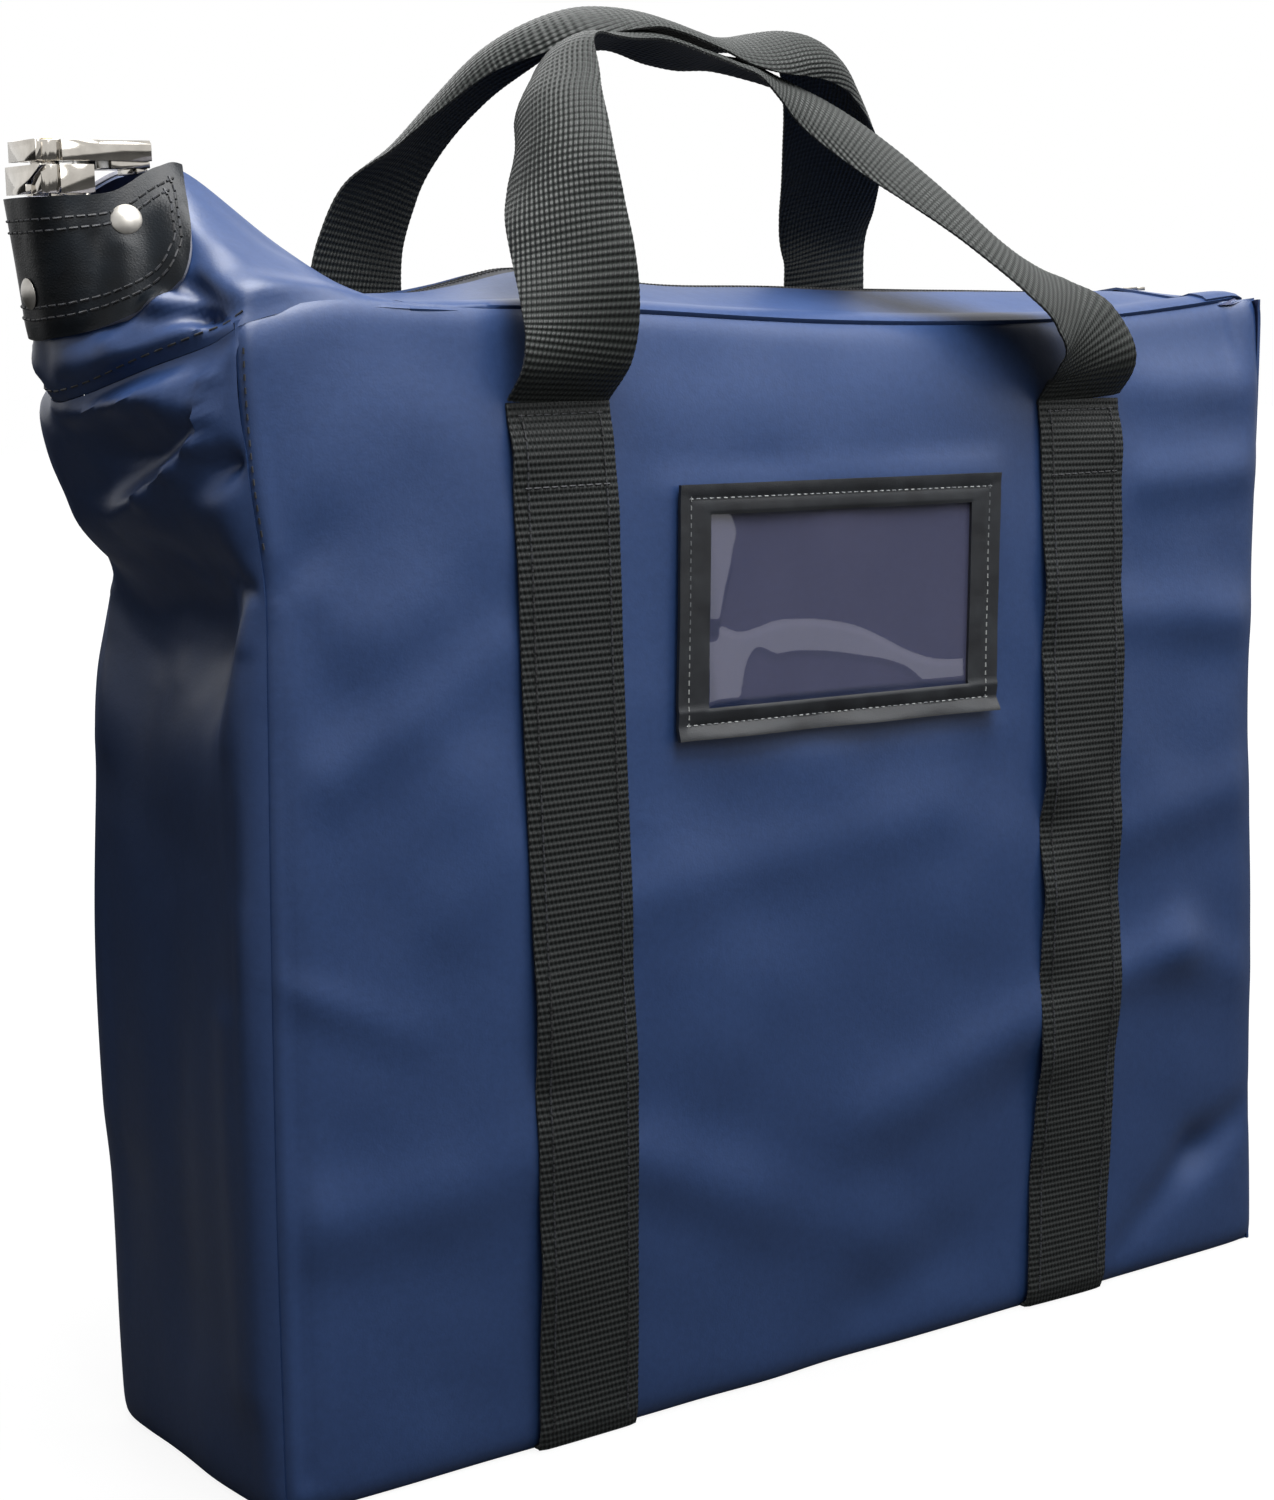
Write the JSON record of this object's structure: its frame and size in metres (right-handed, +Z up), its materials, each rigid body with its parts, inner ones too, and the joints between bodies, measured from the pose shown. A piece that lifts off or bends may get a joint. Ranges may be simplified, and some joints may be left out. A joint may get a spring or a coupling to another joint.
{
  "type": "cash deposit bag",
  "caption": "Soft square-based navy carrier with webbing handles, a clear card pocket and a zip that ends in a raised ear held shut by a small keyed lock in a leather collar.",
  "frame": {"origin": "middle of the base, on the surface that the bag stands on", "axes": "+X to the right along the front panel, away from the lock; -Y out of the front panel with the card pocket; +Z up"},
  "size_m": [0.4638, 0.142, 0.4601],
  "materials": {
    "nylon": "satin laminated nylon",
    "webbing": "ribbed polypropylene weave",
    "board": "matte",
    "collar_leather": "grained",
    "frame_leatherette": "fine grain",
    "pocket_vinyl": "clear glossy vinyl",
    "pocket_backing": "satin",
    "zip_tape": "twill",
    "zip_coil": "satin",
    "zip_metal": "nickel plated",
    "nickel": "satin nickel plate",
    "steel": "plain",
    "brass": "turned"
  },
  "bodies": {
    "bag": {"front_panel": "nylon", "back_panel": "nylon", "left_gusset": "nylon", "right_gusset": "nylon", "base_panel": "nylon", "right_end_tab": "nylon", "ear_front_wall": "nylon", "ear_back_wall": "nylon", "front_left_strap": "webbing", "front_right_strap": "webbing", "back_left_strap": "webbing", "back_right_strap": "webbing", "base_left_strap": "webbing", "base_right_strap": "webbing", "base_board": "board", "leather_collar": "collar_leather", "card_frame": "frame_leatherette", "card_window": "pocket_vinyl", "card_backing": "pocket_backing", "ear_zipper_tape": "zip_tape", "ear_zipper_teeth": "zip_coil", "zipper_end_stop": "zip_metal", "lock_body": "nickel", "collar_rivets": "nickel", "lock_anchor_plate": "steel"},
    "lock_cap": {"lock_cap": "nickel", "lock_barrel": "nickel", "cap_studs": "steel", "cap_spring": "steel", "driver_pins": "brass"},
    "key_plug": {"key_plug": "brass", "key_pins": "brass", "lock_cam": "steel"},
    "zipper_slider": {"zipper_slider": "zip_metal"},
    "slider_pull": {"slider_pull": "zip_metal"},
    "front_flap": {"front_flap": "nylon", "front_zipper_tape": "zip_tape", "front_zipper_teeth": "zip_coil"},
    "back_flap": {"back_flap": "nylon", "back_zipper_tape": "zip_tape", "back_zipper_teeth": "zip_coil"},
    "front_handle": {"front_handle": "webbing"},
    "back_handle": {"back_handle": "webbing"}
  },
  "joints": [
    {"name": "front_handle_swing", "type": "hinge", "parent": "bag", "child": "front_handle", "pos_m": [-0.103, -0.0616, 0.33465], "axis": [0.9995, 0, -0.0319], "range_deg": [0, 150]},
    {"name": "back_handle_swing", "type": "hinge", "parent": "bag", "child": "back_handle", "pos_m": [-0.103, 0.0616, 0.33465], "axis": [-0.9994, 0, 0.0348], "range_deg": [0, 150]},
    {"name": "front_flap_hinge", "type": "hinge", "parent": "bag", "child": "front_flap", "pos_m": [0, -0.0566, 0.3588], "axis": [1, 0, 0], "range_deg": [0, 45]},
    {"name": "back_flap_hinge", "type": "hinge", "parent": "bag", "child": "back_flap", "pos_m": [0, 0.0566, 0.3588], "axis": [-1, 0, 0], "range_deg": [0, 45]},
    {"name": "cap_slide", "type": "slide", "parent": "bag", "child": "lock_cap", "axis": [0, 0, 1], "range_m": [0, 0.006], "deforming": ["cap_spring"]},
    {"name": "key_turn", "type": "hinge", "parent": "lock_cap", "child": "key_plug", "pos_m": [-0.2434, 0, 0.4], "axis": [0, 0, -1], "range_deg": [0, 90]},
    {"name": "zipper_run", "type": "slide", "parent": "bag", "child": "zipper_slider", "axis": [0.8616, 0, -0.5075], "range_m": [0, 0.044]},
    {"name": "pull_swing", "type": "hinge", "parent": "zipper_slider", "child": "slider_pull", "pos_m": [-0.20092, 0, 0.40215], "axis": [0, -1, 0], "range_deg": [0, 110]}
  ]
}
